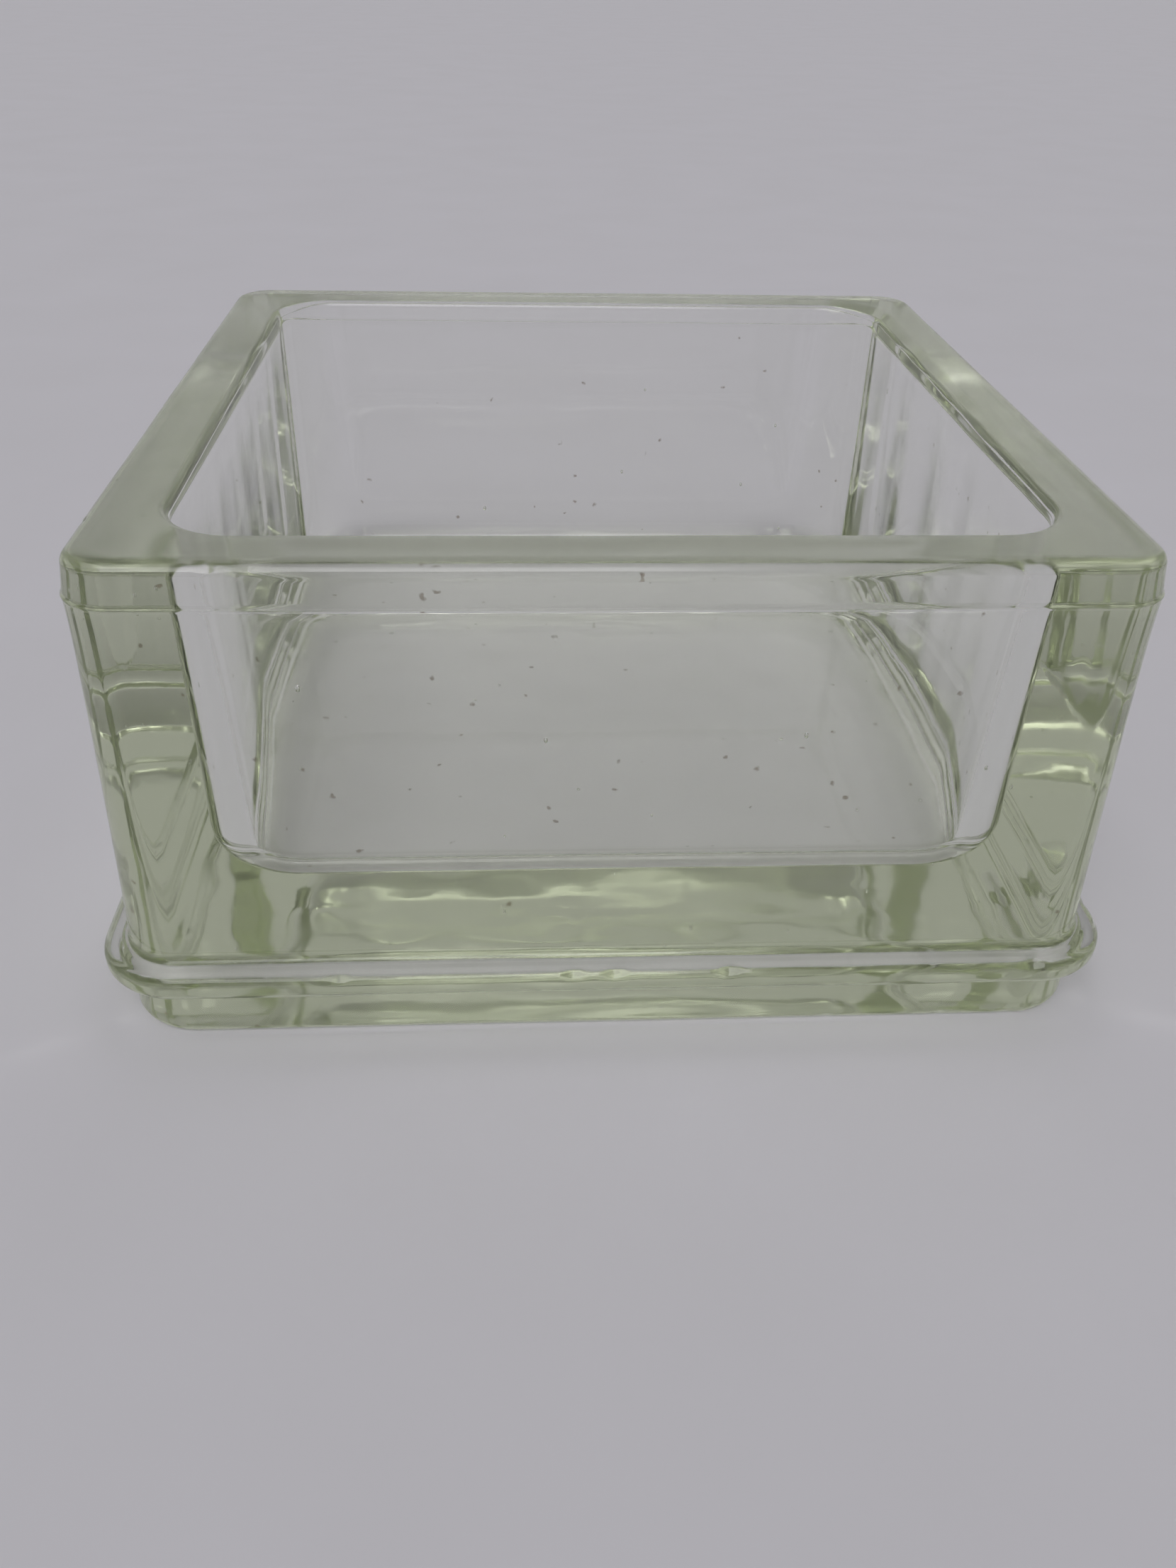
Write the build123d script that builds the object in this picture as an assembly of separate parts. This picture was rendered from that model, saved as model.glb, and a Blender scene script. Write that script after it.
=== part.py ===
from build123d import *
import os

# A square dish pressed in one piece from thick, pale green glass.
# From the bead up, every level of the outside is the same square core grown outwards, so one
# profile, carried along the four sides and turned round the four upright corners, makes it.
# A profile's x is the distance outwards from the core. The foot below the bead has rounder corners
# of its own, and the hollow's corners get rounder towards its floor.
# The origin is the middle of the underside, with +Z up through the open top. Millimetres.

os.makedirs("parts", exist_ok=True)

# Levels above the table
HEIGHT = 63.7
FLOOR_LEVEL = 18.0
SEAM_LEVEL = 58.8
BEAD_TOP = 11.6
BEAD_SHOULDER = 11.3
BEAD_BOTTOM = 7.4

# Half widths of the outside, measured on the flat of a side
RIM_HALF = 60.0
WALL_FOOT_HALF = 61.3
BEAD_HALF = 64.75
FOOT_HALF = 62.2
CORE_HALF = 54.2

# Outside details
BEAD_CREASE_RADIUS = 1.2
BEAD_SHOULDER_RADIUS = 0.9
BEAD_UNDER_RADIUS = 1.5
FOOT_CORNER_RADIUS = 9.2
FOOT_EDGE_RADIUS = 1.6
RIM_OUTER_RADIUS = 1.6
LIP_STEP = 0.15
SEAM_HEIGHT = 0.35
SEAM_BULGE = 0.12

# Half widths and radii of the hollow
HOLLOW_TOP_HALF = 50.9
HOLLOW_TOP_CORNER_RADIUS = 8.6
HOLLOW_FLOOR_HALF = 50.6
HOLLOW_FLOOR_CORNER_RADIUS = 12.0
HOLLOW_BASE_RADIUS = 6.0
RIM_INNER_RADIUS = 1.3


def wall_x(level):
    """Outside of the wall at a level, outwards from the core: it leans out towards the foot."""
    share = (HEIGHT - level) / (HEIGHT - BEAD_TOP)
    return RIM_HALF + share * (WALL_FOOT_HALF - RIM_HALF) - CORE_HALF


def rounded(profile, place, radius):
    """A profile with its corner at a place rounded off."""
    return fillet(profile.vertices().sort_by_distance(place)[0], radius)


def outside_profile():
    """Bead, leaning wall, mould seam and lip, as one closed outline of (x, level)."""
    bead_x = BEAD_HALF - CORE_HALF
    rim_x = RIM_HALF - CORE_HALF
    below_seam = SEAM_LEVEL - SEAM_HEIGHT
    above_seam = SEAM_LEVEL + SEAM_HEIGHT
    corners = [
        (0, BEAD_BOTTOM),
        (bead_x, BEAD_BOTTOM),
        (bead_x, BEAD_SHOULDER),
        (wall_x(BEAD_TOP), BEAD_TOP),
        (wall_x(below_seam), below_seam),
        (wall_x(SEAM_LEVEL) + SEAM_BULGE, SEAM_LEVEL),
        (rim_x + LIP_STEP, above_seam),
        (rim_x, HEIGHT),
        (0, HEIGHT),
    ]
    profile = make_face(Polyline(*corners, close=True))
    profile = rounded(profile, (bead_x, BEAD_BOTTOM), BEAD_UNDER_RADIUS)
    profile = rounded(profile, (bead_x, BEAD_SHOULDER), BEAD_SHOULDER_RADIUS)
    profile = rounded(profile, (wall_x(BEAD_TOP), BEAD_TOP), BEAD_CREASE_RADIUS)
    return rounded(profile, (rim_x, HEIGHT), RIM_OUTER_RADIUS)


def carried_round(profile, core_half, low, high):
    """The solid inside a profile that runs along a square core's sides and turns round its corners."""
    upright = Plane.XZ * profile
    side = Pos(core_half, 0, 0) * extrude(upright, core_half, both=True)
    corner = Pos(core_half, core_half, 0) * revolve(upright, Axis.Z, 90)
    solid = Pos(0, 0, (low + high) / 2) * Box(2 * core_half, 2 * core_half, high - low)
    for turn in range(4):
        solid += Rot(0, 0, 90 * turn) * side
        solid += Rot(0, 0, 90 * turn) * corner
    return solid.clean()


def rounded_square(half, corner_radius, level):
    """A level square face with rounded corners."""
    return Pos(0, 0, level) * RectangleRounded(2 * half, 2 * half, corner_radius)


def foot():
    """The short foot under the bead, with its lower edge rounded."""
    block = extrude(rounded_square(FOOT_HALF, FOOT_CORNER_RADIUS, 0), BEAD_BOTTOM + BEAD_UNDER_RADIUS)
    return fillet(block.faces().sort_by(Axis.Z)[0].edges(), FOOT_EDGE_RADIUS)


def hollow():
    """The inside of the dish, from its floor to the top of the rim."""
    floor = rounded_square(HOLLOW_FLOOR_HALF, HOLLOW_FLOOR_CORNER_RADIUS, FLOOR_LEVEL)
    mouth = rounded_square(HOLLOW_TOP_HALF, HOLLOW_TOP_CORNER_RADIUS, HEIGHT)
    inside = loft([floor, mouth])
    return fillet(inside.faces().sort_by(Axis.Z)[0].edges(), HOLLOW_BASE_RADIUS)


def dish():
    """The pressed glass body with its hollow taken out and the rim's inner edge rounded."""
    body = carried_round(outside_profile(), CORE_HALF, BEAD_BOTTOM, HEIGHT) + foot()
    body -= hollow()
    rim = body.faces().filter_by(Plane.XY).sort_by(Axis.Z)[-1]
    return fillet(rim.inner_wires()[0].edges(), RIM_INNER_RADIUS)


export_step(dish(), "parts/dish.step")
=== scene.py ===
import random
from math import atan, cos, exp, hypot, pi, radians, sin

import bmesh
import bpy
import numpy as np
from mathutils import Matrix, Vector, noise


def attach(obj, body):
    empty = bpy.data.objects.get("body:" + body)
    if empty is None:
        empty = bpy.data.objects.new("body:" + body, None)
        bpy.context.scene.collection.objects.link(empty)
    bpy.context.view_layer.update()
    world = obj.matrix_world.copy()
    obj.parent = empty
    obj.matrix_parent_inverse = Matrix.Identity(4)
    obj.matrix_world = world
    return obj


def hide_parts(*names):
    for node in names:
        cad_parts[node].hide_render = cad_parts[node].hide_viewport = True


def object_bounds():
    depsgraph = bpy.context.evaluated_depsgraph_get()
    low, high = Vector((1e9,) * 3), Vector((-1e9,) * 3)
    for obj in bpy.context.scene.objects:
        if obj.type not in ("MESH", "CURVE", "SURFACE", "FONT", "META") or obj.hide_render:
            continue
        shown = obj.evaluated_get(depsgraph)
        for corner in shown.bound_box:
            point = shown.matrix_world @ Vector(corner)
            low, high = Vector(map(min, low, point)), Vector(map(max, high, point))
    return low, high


# The visual model of a square pressed-glass dish, in metres, in the CAD model's frame.
# One closed glass mesh of nearly the same shape replaces the CAD node. It adds what pressing
# leaves: waves in every face, ripples down the hollow's sides, small nicks, and seed bubbles.
# The bubbles are small closed surfaces inside the glass, with their faces turned inwards.

MM = 0.001
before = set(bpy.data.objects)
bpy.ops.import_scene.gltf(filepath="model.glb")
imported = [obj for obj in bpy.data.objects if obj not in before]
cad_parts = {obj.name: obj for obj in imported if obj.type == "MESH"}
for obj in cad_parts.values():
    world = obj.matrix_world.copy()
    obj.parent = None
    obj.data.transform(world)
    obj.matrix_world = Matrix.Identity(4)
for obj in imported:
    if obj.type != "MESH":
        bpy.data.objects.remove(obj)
cad_low, cad_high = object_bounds()

# Levels above the table
HEIGHT = cad_high[2]
FLOOR_LEVEL = 18.0 * MM
SEAM_LEVEL = 58.8 * MM
BEAD_TOP = 11.6 * MM
BEAD_SHOULDER = 11.3 * MM
BEAD_BOTTOM = 7.4 * MM

# Half widths of the outside
BEAD_HALF = cad_high[0]
RIM_HALF = BEAD_HALF - 4.75 * MM
WALL_FOOT_HALF = BEAD_HALF - 3.45 * MM
FOOT_HALF = BEAD_HALF - 2.55 * MM

# Half widths of the square cores that the rings are grown from
CORE_HALF = 54.2 * MM
FOOT_CORE_HALF = 53.0 * MM
HOLLOW_CORE_HALF = 42.3 * MM
HOLLOW_FLOOR_CORE_HALF = 38.6 * MM

# Outside details. The bead is rounder and the lip prouder than in the CAD, and the cove is only here
BEAD_CREASE_REACH = 1.2 * MM
BEAD_SHOULDER_RADIUS = 1.5 * MM
BEAD_SHOULDER_END = radians(80)
BEAD_SHELF_DROP = 0.13 * MM
BEAD_UNDER_RADIUS = 1.8 * MM
BEAD_UNDER_START = radians(-85)
BEAD_UNDER_BEND = 0.2 * MM
FOOT_BEND = 0.3 * MM
FOOT_EDGE_RADIUS = 1.6 * MM
RIM_OUTER_RADIUS = 1.6 * MM
LIP_STEP = 0.40 * MM
SEAM_HEIGHT = 0.35 * MM
SEAM_BULGE = 0.10 * MM
COVE_BULGE = 0.40 * MM
COVE_LENGTH = 4.5 * MM

# Half widths and radii of the hollow
HOLLOW_TOP_HALF = 50.9 * MM
HOLLOW_FLOOR_HALF = 50.6 * MM
HOLLOW_BASE_RADIUS = 6.0 * MM
RIM_INNER_RADIUS = 1.3 * MM

# Mesh density: steps round a ring
SIDE_STEPS = 120
CORNER_STEPS = 14

# Mesh density: steps along the profile
ARC_STEPS = 12
UNDERSIDE_STEPS = 6
FOOT_STEPS = 8
BEAD_BEND_STEPS = 4
BEAD_FACE_STEPS = 4
SHELF_STEPS = 3
WALL_ROWS = 44
SEAM_STEPS = 2
LIP_STEPS = 8
RIM_STEPS = 6
HOLLOW_STEPS = 40
FLOOR_STEPS = 4
SAME_PLACE = 0.0005 * MM

# Unevenness of each skin: (depth, wave size, squeeze of the wave size along the height)
WAVES = {
    "underside": [(0.50 * MM, 24 * MM, 1.0), (0.20 * MM, 9 * MM, 1.0), (0.03 * MM, 4 * MM, 1.0)],
    "foot": [(0.20 * MM, 20 * MM, 0.6), (0.06 * MM, 7 * MM, 1.0)],
    "wall": [(0.08 * MM, 20 * MM, 1.0), (0.025 * MM, 7 * MM, 1.0)],
    "rim": [(0.03 * MM, 14 * MM, 1.0)],
    "hollow": [(0.10 * MM, 16 * MM, 0.35), (0.06 * MM, 7 * MM, 0.2)],
    "floor": [(0.12 * MM, 26 * MM, 1.0), (0.03 * MM, 9 * MM, 1.0)],
}
WAVE_SHIFT = Vector((3.7, 8.1, 5.3))

# The hollow's ripples are deeper on its right wall, and deeper still towards the back
RIPPLE_RIGHT_START = 0.85
RIPPLE_RIGHT_RISE = 0.15
RIPPLE_BACK_START = 20 * MM
RIPPLE_BACK_RISE = 40 * MM
RIPPLE_RIGHT_GAIN = 1.5
RIPPLE_BACK_GAIN = 4.0

# Nicks: (half width of the edge, its level, how many, largest size) for bead, foot and rim.
# Their reach is a share of the half width, the smallest a share of the largest, the depth of the size
NICK_SEED = 11
NICKED_EDGES = [
    (BEAD_HALF - 0.3 * MM, BEAD_SHOULDER - 0.3 * MM, 18, 1.5 * MM),
    (FOOT_HALF - 0.3 * MM, 0.5 * MM, 10, 1.3 * MM),
    (RIM_HALF - 0.4 * MM, HEIGHT - 0.4 * MM, 8, 0.8 * MM),
]
NICK_REACH = 0.85
NICK_SMALLEST = 0.5
NICK_DEPTH = 0.4

# Seed bubbles, in millimetres: ranges for their places in the slab and in a wall
BUBBLE_SEED = 5
SLAB_BUBBLES = 26
SLAB_ACROSS = (-50, 50)
SLAB_LEVELS = (4, 14)
WALL_BUBBLES = 24
WALL_ACROSS = (-46, 46)
WALL_DEPTHS = (54, 58)
WALL_LEVELS = (18, 56)
BUBBLE_RADII = (0.10, 0.30)
BUBBLE_STRETCH = 1.6

# The glass: colour by depth, and the roughness of its clean, worn and satin parts
GLASS_IOR = 1.52
GLASS_COLOUR = (0.65, 0.71, 0.465, 1)
GLASS_DENSITY = 8.8
SMUDGE_SCALE = 60.0
SMUDGE_ROUGHNESS = (0.025, 0.10)
WORN_ROUGHNESS = (0.03, 0.10)
WORN_LEVELS = (0.5 * MM, 1.2 * MM)
SATIN_SCALE = 70.0
SATIN_ROUGHNESS = (0.14, 0.24)
SATIN_LEVELS = (HEIGHT - 1.0 * MM, HEIGHT - 0.4 * MM)
DIRT_COLOUR = (0.22, 0.15, 0.09, 1)
DIRT_SCALE = 150.0
DIRT_SIZE = (0.03, 0.06)
DIRT_STRENGTH = 0.85
DIRT_RAGGED_SCALE = 900.0
DIRT_RAGGED_REACH = (0.0012, 0.0012, 0.0012)
PEEL_SCALE = 300.0
PEEL_DEPTH = 0.006 * MM

# The studio floor, just below the dish
STUDIO_FLOOR_HALF = 8.0
STUDIO_FLOOR_DROP = 0.02 * MM
STUDIO_FLOOR_PALE = (0.68, 0.67, 0.70, 1)
STUDIO_FLOOR_PALER = (0.72, 0.71, 0.75, 1)
STUDIO_FLOOR_MOTTLE_SCALE = 25.0
STUDIO_FLOOR_ROUGHNESS = 0.8
STUDIO_FLOOR_SPECULAR = 0.2

# The studio light: walls brighter behind than in front, dimmed at the right, and one window
STUDIO_COLOUR = (0.99, 0.98, 1.0, 1)
WALL_LIGHT = (0.25, 0.44)
RIGHT_DIMMING = -0.18
WINDOW_LIGHT = 3.2
WINDOW_ACROSS = (-0.40, 0.16)
WINDOW_HEIGHTS = (0.60, 0.93)
WINDOW_SOFTNESS = 0.05

# The camera, at the photograph's viewing angle
CAMERA_PLACE = (-12.4 * MM, -184.3 * MM, 119.3 * MM)
CAMERA_YAW = radians(-3.95)
CAMERA_PITCH = radians(33.65)
CAMERA_ROLL = radians(-1.53)
CAMERA_SENSOR = 36.0
CAMERA_LENS = 29.7
CAMERA_CLIP = 0.005


def line_points(start, end, steps):
    """Points from start to end, without the end."""
    start, end = np.array(start), np.array(end)
    return [tuple(start + (end - start) * i / steps) for i in range(steps)]


def arc_point(centre, radius, angle):
    """The point on an arc in the (x, z) plane at one angle."""
    return (centre[0] + radius * cos(angle), centre[1] + radius * sin(angle))


def arc_points(centre, radius, first, last, steps):
    """Points on an arc in the (x, z) plane, from one angle to another, without the last."""
    angles = [first + (last - first) * i / steps for i in range(steps)]
    return [arc_point(centre, radius, angle) for angle in angles]


def bend_points(start, corner, end, steps):
    """Points on a smooth bend that leaves start towards a corner and arrives at end from it."""
    start, corner, end = np.array(start), np.array(corner), np.array(end)
    shares = [i / steps for i in range(steps)]
    return [tuple((1 - t) ** 2 * start + 2 * t * (1 - t) * corner + t * t * end) for t in shares]


def wall_x(level):
    """Outside of the leaning wall at a level, outwards from the core, with the cove under the seam."""
    share = (HEIGHT - level) / (HEIGHT - BEAD_TOP)
    cove = COVE_BULGE * exp(-abs(SEAM_LEVEL - level) / COVE_LENGTH)
    return RIM_HALF + share * (WALL_FOOT_HALF - RIM_HALF) - CORE_HALF + cove


def foot_profile(foot_top):
    """Rows from the middle of the underside round the foot's lower edge and up its face."""
    face_x = FOOT_HALF - FOOT_CORE_HALF
    edge = (face_x - FOOT_EDGE_RADIUS, FOOT_EDGE_RADIUS)
    flat = line_points((0, 0), (face_x - FOOT_EDGE_RADIUS, 0), UNDERSIDE_STEPS)
    face = arc_points(edge, FOOT_EDGE_RADIUS, -pi / 2, 0, ARC_STEPS)
    face += line_points((face_x, FOOT_EDGE_RADIUS), (face_x, foot_top), FOOT_STEPS)
    rows = [(FOOT_CORE_HALF, x, z, "underside") for x, z in flat]
    return rows + [(FOOT_CORE_HALF, x, z, "foot") for x, z in face]


def outside_profile():
    """(core half width, x, z, skin) rows from the middle of the underside to the rim's outer edge."""
    foot_x = FOOT_HALF - CORE_HALF
    foot_top = BEAD_BOTTOM - FOOT_BEND
    bead_x = BEAD_HALF - CORE_HALF
    rim_x = RIM_HALF - CORE_HALF
    under = (bead_x - BEAD_UNDER_RADIUS, BEAD_BOTTOM + BEAD_UNDER_RADIUS)
    under_end = (under[0] + BEAD_UNDER_BEND, BEAD_BOTTOM)
    shoulder = (bead_x - BEAD_SHOULDER_RADIUS, BEAD_SHOULDER - BEAD_SHOULDER_RADIUS)
    shelf = arc_point(shoulder, BEAD_SHOULDER_RADIUS, BEAD_SHOULDER_END)
    crease = (wall_x(BEAD_TOP), BEAD_TOP)
    shelf_end = (crease[0] + BEAD_CREASE_REACH, BEAD_TOP - BEAD_SHELF_DROP)
    wall_start = BEAD_TOP + BEAD_CREASE_REACH

    rows = foot_profile(foot_top)
    side = bend_points((foot_x, foot_top), (foot_x, BEAD_BOTTOM), under_end, BEAD_BEND_STEPS)
    side += arc_points(under, BEAD_UNDER_RADIUS, BEAD_UNDER_START, 0, ARC_STEPS)
    side += line_points((bead_x, under[1]), (bead_x, shoulder[1]), BEAD_FACE_STEPS)
    side += arc_points(shoulder, BEAD_SHOULDER_RADIUS, 0, BEAD_SHOULDER_END, ARC_STEPS)
    side += line_points(shelf, shelf_end, SHELF_STEPS)
    rows += [(CORE_HALF, x, z, "foot") for x, z in side]

    below_seam = (wall_x(SEAM_LEVEL - SEAM_HEIGHT), SEAM_LEVEL - SEAM_HEIGHT)
    seam = (wall_x(SEAM_LEVEL) + SEAM_BULGE, SEAM_LEVEL)
    lip = (rim_x + LIP_STEP, SEAM_LEVEL + SEAM_HEIGHT)
    edge = (rim_x - RIM_OUTER_RADIUS, HEIGHT - RIM_OUTER_RADIUS)
    side = bend_points(shelf_end, crease, (wall_x(wall_start), wall_start), ARC_STEPS)
    side += [(wall_x(z), z) for z in np.linspace(wall_start, below_seam[1], WALL_ROWS)]
    side += line_points(below_seam, seam, SEAM_STEPS)
    side += line_points(seam, lip, SEAM_STEPS)
    side += line_points(lip, (rim_x, edge[1]), LIP_STEPS)
    side += arc_points(edge, RIM_OUTER_RADIUS, 0, pi / 2, ARC_STEPS)
    return rows + [(CORE_HALF, x, z, "wall") for x, z in side]


def rim_profile():
    """The flat of the rim, passing from the outer core to the hollow's core."""
    inner_x = HOLLOW_TOP_HALF - HOLLOW_CORE_HALF + RIM_INNER_RADIUS
    outer = (CORE_HALF, RIM_HALF - CORE_HALF - RIM_OUTER_RADIUS, HEIGHT)
    inner = (HOLLOW_CORE_HALF, inner_x, HEIGHT)
    return [(*row, "rim") for row in line_points(outer, inner, RIM_STEPS)]


def hollow_profile():
    """Rows from the rim's inner edge down the hollow's wall to its floor; the corners widen downwards."""
    edge = (HOLLOW_TOP_HALF + RIM_INNER_RADIUS, HEIGHT - RIM_INNER_RADIUS)
    lean = atan((HOLLOW_TOP_HALF - HOLLOW_FLOOR_HALF) / (edge[1] - FLOOR_LEVEL))
    base_half = HOLLOW_FLOOR_HALF - HOLLOW_BASE_RADIUS * (1 - sin(lean)) / cos(lean)
    base = (base_half, FLOOR_LEVEL + HOLLOW_BASE_RADIUS)
    wall_end = (base[0] + HOLLOW_BASE_RADIUS * cos(lean), base[1] - HOLLOW_BASE_RADIUS * sin(lean))
    wall_top = (edge[0] - RIM_INNER_RADIUS * cos(lean), edge[1] - RIM_INNER_RADIUS * sin(lean))

    wall = arc_points(edge, RIM_INNER_RADIUS, pi / 2, pi + lean, ARC_STEPS)
    wall += line_points(wall_top, wall_end, HOLLOW_STEPS)
    wall += arc_points(base, HOLLOW_BASE_RADIUS, -lean, -pi / 2, 2 * ARC_STEPS)
    floor_end = (HOLLOW_FLOOR_CORE_HALF, FLOOR_LEVEL)
    floor = line_points((base_half, FLOOR_LEVEL), floor_end, FLOOR_STEPS) + [floor_end]
    rows = []
    for points, skin in ((wall, "hollow"), (floor, "floor")):
        for half, z in points:
            share = (z - FLOOR_LEVEL) / (HEIGHT - FLOOR_LEVEL)
            core = HOLLOW_FLOOR_CORE_HALF + share * (HOLLOW_CORE_HALF - HOLLOW_FLOOR_CORE_HALF)
            rows.append((core, half - core, z, skin))
    return rows


def round_square():
    """Core places (as shares of the half width) and outward directions round one ring."""
    places, ways = [], []
    for quarter in range(4):
        turn = np.array([[cos(quarter * pi / 2), -sin(quarter * pi / 2)],
                         [sin(quarter * pi / 2), cos(quarter * pi / 2)]])
        for i in range(SIDE_STEPS):
            places.append(turn @ np.array([1, -1 + 2 * i / SIDE_STEPS]))
            ways.append(turn @ np.array([1, 0]))
        for i in range(CORNER_STEPS):
            angle = pi / 2 * i / CORNER_STEPS
            places.append(turn @ np.array([1, 1]))
            ways.append(turn @ np.array([cos(angle), sin(angle)]))
    return np.array(places), np.array(ways)


def off_table(place, skin):
    """How freely a spot may sink: 0 on the ring where the foot meets the table, 1 well away from it."""
    if skin == "foot":
        return min(place[2] / FOOT_EDGE_RADIUS, 1)
    if skin == "underside":
        past_x = max(abs(place[0]) - FOOT_CORE_HALF, 0)
        past_y = max(abs(place[1]) - FOOT_CORE_HALF, 0)
        share = hypot(past_x, past_y) / (FOOT_HALF - FOOT_CORE_HALF - FOOT_EDGE_RADIUS)
        return 1 - min(share, 1) ** 2
    return 1


def nick_places():
    """Centres and sizes of the small chips along the edges of the bead, the foot and the rim."""
    chance = random.Random(NICK_SEED)
    nicks = []
    for half, level, count, largest in NICKED_EDGES:
        for number in range(count):
            along = chance.uniform(-NICK_REACH, NICK_REACH) * half
            side = Matrix.Rotation(number * pi / 2, 3, "Z") @ Vector((along, -half, level))
            nicks.append((side, chance.uniform(NICK_SMALLEST, 1.0) * largest))
    return nicks


def ripple_gain(place):
    """How many times deeper the hollow's unevenness is at a place than on its left wall."""
    right = max(place[0] / HOLLOW_TOP_HALF - RIPPLE_RIGHT_START, 0) / RIPPLE_RIGHT_RISE
    back = max(place[1] + RIPPLE_BACK_START, 0) / RIPPLE_BACK_RISE
    return 1 + min(right, 1) * (RIPPLE_RIGHT_GAIN + RIPPLE_BACK_GAIN * min(back, 1))


def sunk(place, normal, skin, nicks=()):
    """A vertex moved into the glass by the unevenness of its skin and by any nick over it."""
    depth = 0.0
    for number, (amount, size, squeeze) in enumerate(WAVES[skin]):
        spot = Vector((place[0], place[1], place[2] * squeeze)) / size
        depth += amount * (0.5 + 0.5 * noise.noise(spot + WAVE_SHIFT * (number + 1)))
    if skin == "hollow":
        depth *= ripple_gain(place)
    depth *= off_table(place, skin)
    for centre, size in nicks:
        near = 1 - (Vector(place) - centre).length / size
        depth += NICK_DEPTH * size * max(near, 0) * off_table(place, skin)
    return tuple(place[i] - normal[i] * depth for i in range(3))


def grid_end(core, level, up, skin, start):
    """Vertices and faces of the square grid that closes one end of the shell inside its last ring."""
    steps = np.linspace(-core, core, SIDE_STEPS + 1)
    verts = [sunk((x, y, level), (0, 0, up), skin) for y in steps for x in steps]
    faces = []
    for row in range(SIDE_STEPS):
        for col in range(SIDE_STEPS):
            a = start + row * (SIDE_STEPS + 1) + col
            quad = (a, a + 1, a + SIDE_STEPS + 2, a + SIDE_STEPS + 1)
            faces.append(quad if up > 0 else quad[::-1])
    return verts, faces


def glass_shell(profile):
    """Vertices and faces of the closed shell: rings along the profile, with a grid over each end."""
    places, ways = round_square()
    ring = len(places)
    outline = np.array([(core + x, z) for core, x, z, skin in profile])
    travel = np.gradient(outline, axis=0)
    travel /= np.linalg.norm(travel, axis=1)[:, None]

    verts, faces = [], []
    nicks = nick_places()
    for (core, x, z, skin), (along, up) in zip(profile, travel):
        level_nicks = [(centre, size) for centre, size in nicks if abs(z - centre.z) < size]
        for place, way in zip(places, ways):
            spot = (*(core * place + x * way), z)
            verts.append(sunk(spot, (up * way[0], up * way[1], -along), skin, level_nicks))
    for row in range(len(profile) - 1):
        low, high = row * ring, (row + 1) * ring
        for i in range(ring):
            j = (i + 1) % ring
            faces.append((low + i, low + j, high + j, high + i))
    ends = (
        (FOOT_CORE_HALF, 0.0, -1, "underside"),
        (HOLLOW_FLOOR_CORE_HALF, FLOOR_LEVEL, 1, "floor"),
    )
    for core, level, up, skin in ends:
        end_verts, end_faces = grid_end(core, level, up, skin, len(verts))
        verts += end_verts
        faces += end_faces
    return verts, faces


def bubble_places():
    """Centres and radii of the seed bubbles, in the floor slab and in the four walls."""
    chance = random.Random(BUBBLE_SEED)
    spots = []
    for _ in range(SLAB_BUBBLES):
        x, y = chance.uniform(*SLAB_ACROSS), chance.uniform(*SLAB_ACROSS)
        spots.append((x, y, chance.uniform(*SLAB_LEVELS)))
    for number in range(WALL_BUBBLES):
        x, y = chance.uniform(*WALL_ACROSS), -chance.uniform(*WALL_DEPTHS)
        spot = Vector((x, y, chance.uniform(*WALL_LEVELS)))
        spots.append(Matrix.Rotation(number * pi / 2, 3, "Z") @ spot)
    return [(Vector(spot) * MM, chance.uniform(*BUBBLE_RADII) * MM) for spot in spots]


def map_range(tree, source, from_range, to_range, smooth=False):
    """A Map Range node from a socket; its result socket."""
    node = tree.nodes.new("ShaderNodeMapRange")
    if smooth:
        node.interpolation_type = "SMOOTHSTEP"
    node.inputs["From Min"].default_value, node.inputs["From Max"].default_value = from_range
    node.inputs["To Min"].default_value, node.inputs["To Max"].default_value = to_range
    tree.links.new(source, node.inputs["Value"])
    return node.outputs["Result"]


def math_node(tree, operation, first, second):
    """A Math node of two sockets; its result socket."""
    node = tree.nodes.new("ShaderNodeMath")
    node.operation = operation
    tree.links.new(first, node.inputs[0])
    tree.links.new(second, node.inputs[1])
    return node.outputs["Value"]


def noise_texture(tree, coords, scale, detail):
    """A Noise texture node; its output sockets."""
    node = tree.nodes.new("ShaderNodeTexNoise")
    node.inputs["Scale"].default_value = scale
    node.inputs["Detail"].default_value = detail
    tree.links.new(coords, node.inputs["Vector"])
    return node.outputs


def mix_colours(tree, share, first, second):
    """A Mix node from one colour to another by a share; its result socket."""
    node = tree.nodes.new("ShaderNodeMix")
    node.data_type = "RGBA"
    node.inputs["A"].default_value = first
    node.inputs["B"].default_value = second
    tree.links.new(share, node.inputs["Factor"])
    return node.outputs["Result"]


def roughness(tree, coords):
    """Polished glass with smudges, a worn underside and a satin rim; a socket."""
    split = tree.nodes.new("ShaderNodeSeparateXYZ")
    tree.links.new(coords, split.inputs["Vector"])
    level = split.outputs["Z"]
    cloud = noise_texture(tree, coords, SMUDGE_SCALE, 4.0)["Fac"]
    smudge = map_range(tree, cloud, (0.50, 0.72), SMUDGE_ROUGHNESS, True)
    grain = noise_texture(tree, coords, SATIN_SCALE, 4.0)["Fac"]
    satin = map_range(tree, grain, (0.3, 0.7), SATIN_ROUGHNESS)
    on_rim = map_range(tree, level, SATIN_LEVELS, (0.0, 1.0), True)
    worn = map_range(tree, cloud, (0.35, 0.65), WORN_ROUGHNESS)
    under = map_range(tree, level, WORN_LEVELS, (1.0, 0.0), True)
    rim_part = math_node(tree, "MULTIPLY", satin, on_rim)
    under_part = math_node(tree, "MULTIPLY", worn, under)
    rough = math_node(tree, "MAXIMUM", rim_part, under_part)
    return math_node(tree, "MAXIMUM", rough, smudge)


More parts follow.
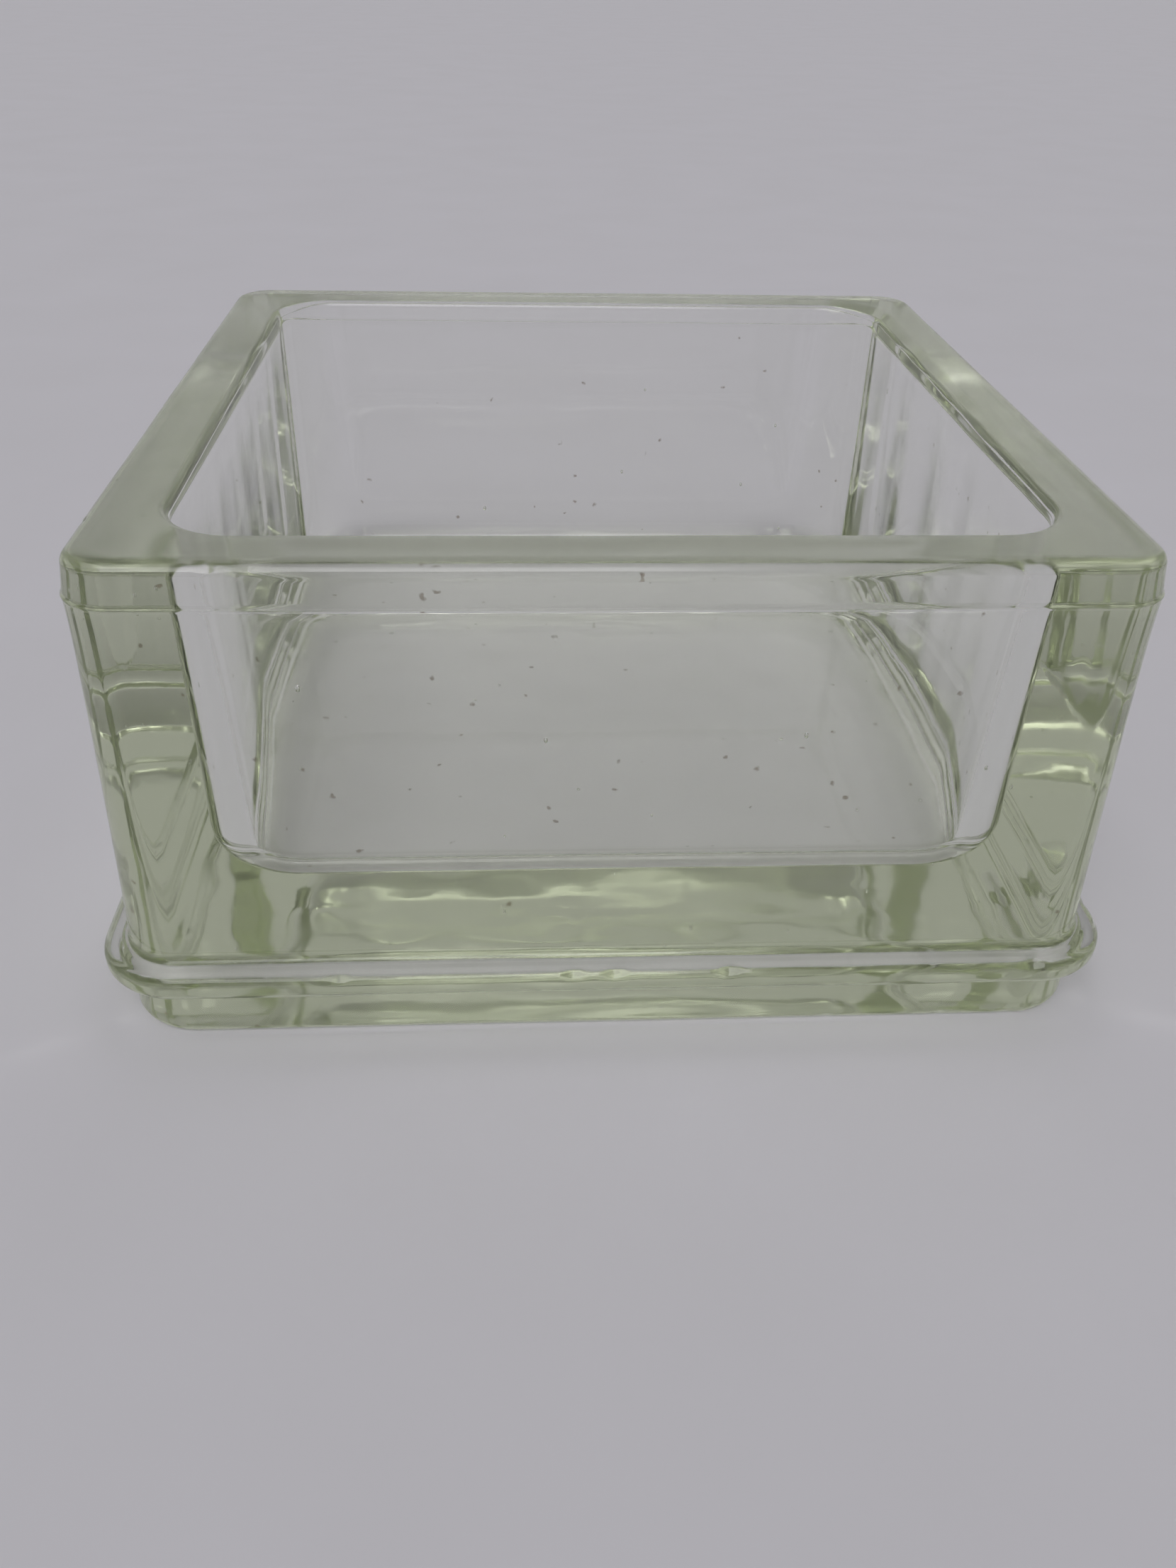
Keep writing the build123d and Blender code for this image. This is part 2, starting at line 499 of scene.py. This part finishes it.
def dirt(tree, coords):
    """Clear glass with scattered ragged brown specks on it; a colour socket."""
    shake = tree.nodes.new("ShaderNodeVectorMath")
    shake.operation = "MULTIPLY_ADD"
    tree.links.new(noise_texture(tree, coords, DIRT_RAGGED_SCALE, 2.0)["Color"], shake.inputs[0])
    shake.inputs[1].default_value = DIRT_RAGGED_REACH
    tree.links.new(coords, shake.inputs[2])
    cells = tree.nodes.new("ShaderNodeTexVoronoi")
    cells.inputs["Scale"].default_value = DIRT_SCALE
    tree.links.new(shake.outputs["Vector"], cells.inputs["Vector"])
    near = map_range(tree, cells.outputs["Distance"], DIRT_SIZE, (DIRT_STRENGTH, 0.0))
    return mix_colours(tree, near, (1, 1, 1, 1), DIRT_COLOUR)


def glass_material():
    """Pale green soda-lime glass: colour by depth, a satin rim, smudges, dirt specks, orange peel."""
    material = bpy.data.materials.new("pressed_glass")
    material.use_nodes = True
    tree = material.node_tree
    shader = tree.nodes["Principled BSDF"]
    shader.inputs["Transmission Weight"].default_value = 1.0
    shader.inputs["IOR"].default_value = GLASS_IOR
    coords = tree.nodes.new("ShaderNodeTexCoord").outputs["Object"]
    tree.links.new(roughness(tree, coords), shader.inputs["Roughness"])
    tree.links.new(dirt(tree, coords), shader.inputs["Base Color"])

    peel = tree.nodes.new("ShaderNodeBump")
    peel.inputs["Distance"].default_value = PEEL_DEPTH
    peel.inputs["Strength"].default_value = 1.0
    tree.links.new(noise_texture(tree, coords, PEEL_SCALE, 2.0)["Fac"], peel.inputs["Height"])
    tree.links.new(peel.outputs["Normal"], shader.inputs["Normal"])

    volume = tree.nodes.new("ShaderNodeVolumeAbsorption")
    volume.inputs["Color"].default_value = GLASS_COLOUR
    volume.inputs["Density"].default_value = GLASS_DENSITY
    tree.links.new(volume.outputs["Volume"], tree.nodes["Material Output"].inputs["Volume"])
    return material


def add_bubbles(work):
    """Seed bubbles, a little taller than wide, added to a mesh under work."""
    for centre, radius in bubble_places():
        stretch = Matrix.Translation(centre) @ Matrix.Diagonal((1.0, 1.0, BUBBLE_STRETCH, 1.0))
        bubble = bmesh.ops.create_icosphere(work, subdivisions=2, radius=radius, matrix=stretch)
        skin = {face for vert in bubble["verts"] for face in vert.link_faces}
        bmesh.ops.reverse_faces(work, faces=list(skin))


def make_dish():
    """The whole dish as one object that stands for the CAD's one node."""
    verts, faces = glass_shell(outside_profile() + rim_profile() + hollow_profile())
    mesh = bpy.data.meshes.new("glass_dish")
    mesh.from_pydata(verts, [], faces)
    work = bmesh.new()
    work.from_mesh(mesh)
    bmesh.ops.remove_doubles(work, verts=work.verts, dist=SAME_PLACE)
    bmesh.ops.recalc_face_normals(work, faces=work.faces)
    add_bubbles(work)
    work.to_mesh(mesh)
    work.free()
    for polygon in mesh.polygons:
        polygon.use_smooth = True
    dish = bpy.data.objects.new("glass_dish", mesh)
    bpy.context.scene.collection.objects.link(dish)
    mesh.materials.append(glass_material())
    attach(dish, "root")
    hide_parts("dish")


def make_floor():
    """A plain pale floor with a faint mottle."""
    half = STUDIO_FLOOR_HALF
    corners = [(-half, -half, 0), (half, -half, 0), (half, half, 0), (-half, half, 0)]
    mesh = bpy.data.meshes.new("studio_floor")
    mesh.from_pydata(corners, [], [(0, 1, 2, 3)])
    floor = bpy.data.objects.new("studio_floor", mesh)
    bpy.context.scene.collection.objects.link(floor)
    floor.location.z = -STUDIO_FLOOR_DROP
    material = bpy.data.materials.new("pale_floor")
    material.use_nodes = True
    tree = material.node_tree
    shader = tree.nodes["Principled BSDF"]
    coords = tree.nodes.new("ShaderNodeTexCoord").outputs["Object"]
    mottle = noise_texture(tree, coords, STUDIO_FLOOR_MOTTLE_SCALE, 6.0)["Fac"]
    paint = mix_colours(tree, mottle, STUDIO_FLOOR_PALE, STUDIO_FLOOR_PALER)
    tree.links.new(paint, shader.inputs["Base Color"])
    shader.inputs["Roughness"].default_value = STUDIO_FLOOR_ROUGHNESS
    shader.inputs["Specular IOR Level"].default_value = STUDIO_FLOOR_SPECULAR
    mesh.materials.append(material)


def facing(tree, way, direction):
    """How directly a way of looking points along a direction; a socket, 1 when it is dead on."""
    dot = tree.nodes.new("ShaderNodeVectorMath")
    dot.operation = "DOT_PRODUCT"
    tree.links.new(way, dot.inputs[0])
    dot.inputs[1].default_value = Vector(direction).normalized()
    return dot.outputs["Value"]


def band(tree, value, limits):
    """1 where a value lies between two limits, falling softly to 0 outside them; a socket."""
    low, high = limits
    soft = WINDOW_SOFTNESS
    rise = map_range(tree, value, (low - soft, low + soft), (0.0, 1.0), True)
    fall = map_range(tree, value, (high - soft, high + soft), (1.0, 0.0), True)
    return math_node(tree, "MULTIPLY", rise, fall)


def make_world():
    """Soft studio light: pale walls, dimmer in front and at the right, and a window high in front."""
    world = bpy.data.worlds.new("studio")
    bpy.context.scene.world = world
    world.use_nodes = True
    tree = world.node_tree
    way = tree.nodes.new("ShaderNodeTexCoord").outputs["Generated"]
    right, up = facing(tree, way, (1, 0, 0)), facing(tree, way, (0, 0, 1))
    behind = facing(tree, way, (0.15, 1.0, 0.0))
    walls = map_range(tree, behind, (-0.8, 0.7), WALL_LIGHT, True)
    dim_side = facing(tree, way, (1.0, 0.1, 0.25))
    shade = map_range(tree, dim_side, (0.70, 0.92), (0.0, RIGHT_DIMMING), True)
    ahead = facing(tree, way, (0, -1, 0))
    front = map_range(tree, ahead, (0.0, 0.1), (0.0, WINDOW_LIGHT), True)
    across = band(tree, right, WINDOW_ACROSS)
    window = math_node(tree, "MULTIPLY", across, band(tree, up, WINDOW_HEIGHTS))
    surround = math_node(tree, "ADD", walls, shade)
    total = math_node(tree, "ADD", surround, math_node(tree, "MULTIPLY", window, front))
    background = tree.nodes["Background"]
    background.inputs["Color"].default_value = STUDIO_COLOUR
    tree.links.new(total, background.inputs["Strength"])


def make_camera():
    """The camera: yaw about the upright, pitch down from level, roll about the line of sight."""
    camera = bpy.data.cameras.new("camera")
    camera.sensor_width = CAMERA_SENSOR
    camera.lens = CAMERA_LENS
    camera.clip_start = CAMERA_CLIP
    piece = bpy.data.objects.new("camera", camera)
    bpy.context.scene.collection.objects.link(piece)
    turn = Matrix.Rotation(CAMERA_YAW, 4, "Z")
    turn = turn @ Matrix.Rotation(pi / 2 - CAMERA_PITCH, 4, "X")
    turn = turn @ Matrix.Rotation(-CAMERA_ROLL, 4, "Z")
    piece.matrix_world = Matrix.Translation(CAMERA_PLACE) @ turn
    bpy.context.scene.camera = piece


make_dish()
make_floor()
make_world()
make_camera()

# Light passes many glass faces, so bounces are high; Filter Glossy darkens what is seen through them
scene = bpy.context.scene
scene.view_settings.view_transform = "Standard"
scene.cycles.max_bounces = 32
scene.cycles.transmission_bounces = 32
scene.cycles.glossy_bounces = 16
scene.cycles.blur_glossy = 0.0
